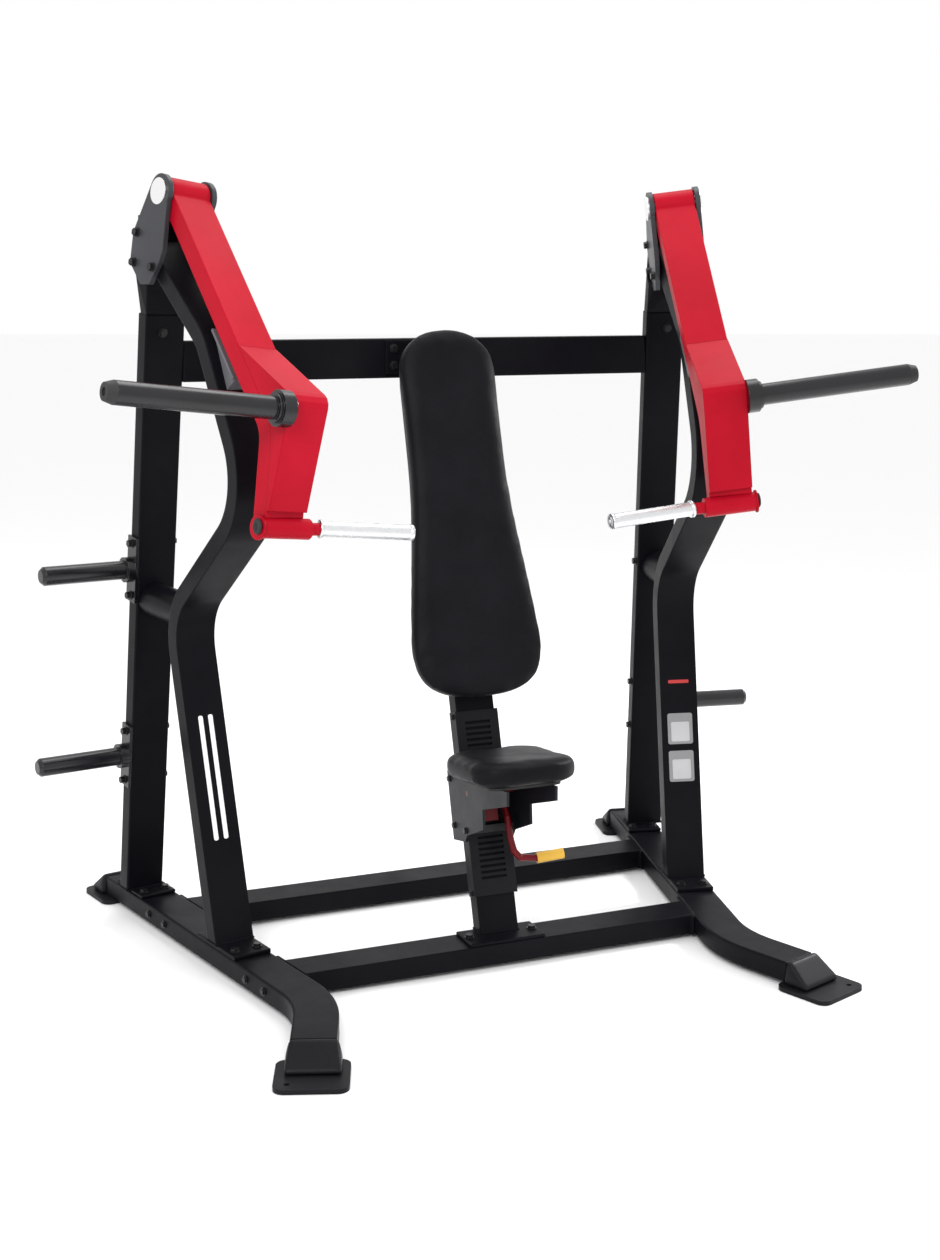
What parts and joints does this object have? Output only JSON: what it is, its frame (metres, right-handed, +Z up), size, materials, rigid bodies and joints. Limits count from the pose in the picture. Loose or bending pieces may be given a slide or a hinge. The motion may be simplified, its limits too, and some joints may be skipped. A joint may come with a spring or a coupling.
{
  "type": "plate-loaded chest press machine",
  "caption": "Plate-loaded incline chest press: splayed base, side frames, converging swing arms with weight horns and grips, sloped backrest, sliding seat.",
  "frame": {"origin": "on the floor, under the middle of the machine's bounding box", "axes": "+X across the machine from the user's right hand to the left, as seen facing its front; -Y is the front, where the user sits; +Z up"},
  "size_m": [2.0152, 1.444, 1.8577],
  "materials": {
    "black_paint": "satin powder coat with a fine texture",
    "dark_grey_paint": "satin dark grey paint",
    "red_paint": "gloss red powder coat",
    "bright_steel": "polished",
    "knurled_chrome": "fine diamond knurl",
    "black_leather": "soft upholstery with a fine grain",
    "black_board": "matt",
    "black_rubber": "matt",
    "grey_steel": "satin grey paint",
    "horn_black": "semi-gloss black",
    "bracket_grey": "satin grey",
    "black_fasteners": "black oxide",
    "lever_red": "semi-gloss dark red",
    "lever_yellow": "soft moulded grip"
  },
  "bodies": {
    "frame": {"rail_left": "black_paint", "rail_right": "black_paint", "front_foot_plate_left": "dark_grey_paint", "front_foot_plate_right": "dark_grey_paint", "rear_foot_plate_left": "dark_grey_paint", "rear_foot_plate_right": "dark_grey_paint", "foot_caps_left": "dark_grey_paint", "foot_caps_right": "dark_grey_paint", "rear_floor_beam": "black_paint", "front_floor_beam": "black_paint", "upright_left": "black_paint", "upright_right": "black_paint", "column_left": "black_paint", "column_right": "black_paint", "side_strut_left": "black_paint", "side_strut_right": "black_paint", "head_left": "black_paint", "head_right": "black_paint", "back_beam": "black_paint", "pivot_plates_left": "dark_grey_paint", "pivot_plates_right": "dark_grey_paint", "pivot_shaft_left": "bright_steel", "pivot_shaft_right": "bright_steel", "stop_bracket_left": "bracket_grey", "stop_bracket_right": "bracket_grey", "stop_bumpers_left": "black_rubber", "stop_bumpers_right": "black_rubber", "seat_post": "black_paint", "rack_cover": "dark_grey_paint", "post_top_bracket": "black_paint", "backrest_board": "black_board", "backrest_pad": "black_leather", "storage_horn_left_upper": "horn_black", "storage_horn_left_lower": "horn_black", "storage_horn_right_lower": "horn_black", "frame_bolts": "black_fasteners"},
    "arm_left": {"arm_beam_left": "red_paint", "arm_gusset_left": "red_paint", "arm_bush_left": "bright_steel", "arm_horn_left": "horn_black", "horn_cap_left": "black_rubber", "handle_tube_left": "red_paint", "handle_grip_left": "knurled_chrome"},
    "arm_right": {"arm_beam_right": "red_paint", "arm_gusset_right": "red_paint", "arm_bush_right": "bright_steel", "arm_horn_right": "horn_black", "horn_cap_right": "black_rubber", "handle_tube_right": "red_paint", "handle_grip_right": "knurled_chrome"},
    "seat_carriage": {"seat_pad": "black_leather", "seat_plate": "black_board", "carriage_left": "grey_steel", "carriage_right": "grey_steel", "glide_pads": "black_rubber", "carriage_bolts": "black_fasteners"},
    "seat_lever": {"release_lever": "lever_red", "lever_grip": "lever_yellow", "pawl": "lever_red"}
  },
  "joints": [
    {"name": "press_left", "type": "hinge", "parent": "frame", "child": "arm_left", "pos_m": [-0.636, 0.193, 1.81], "axis": [-0.9283, -0.3508, 0.1236], "range_deg": [0, 45]},
    {"name": "press_right", "type": "hinge", "parent": "frame", "child": "arm_right", "pos_m": [0.636, 0.193, 1.81], "axis": [-0.9283, 0.3508, -0.1236], "range_deg": [0, 45]},
    {"name": "seat_height", "type": "slide", "parent": "frame", "child": "seat_carriage", "axis": [0, 0.2874, 0.9578], "range_m": [-0.112, 0.112]},
    {"name": "lever_pull", "type": "hinge", "parent": "seat_carriage", "child": "seat_lever", "pos_m": [0, -0.12196, 0.40838], "axis": [-1, 0, 0], "range_deg": [0, 12], "stiffness_Nm_per_rad": 2, "springref_deg": -14.9}
  ]
}
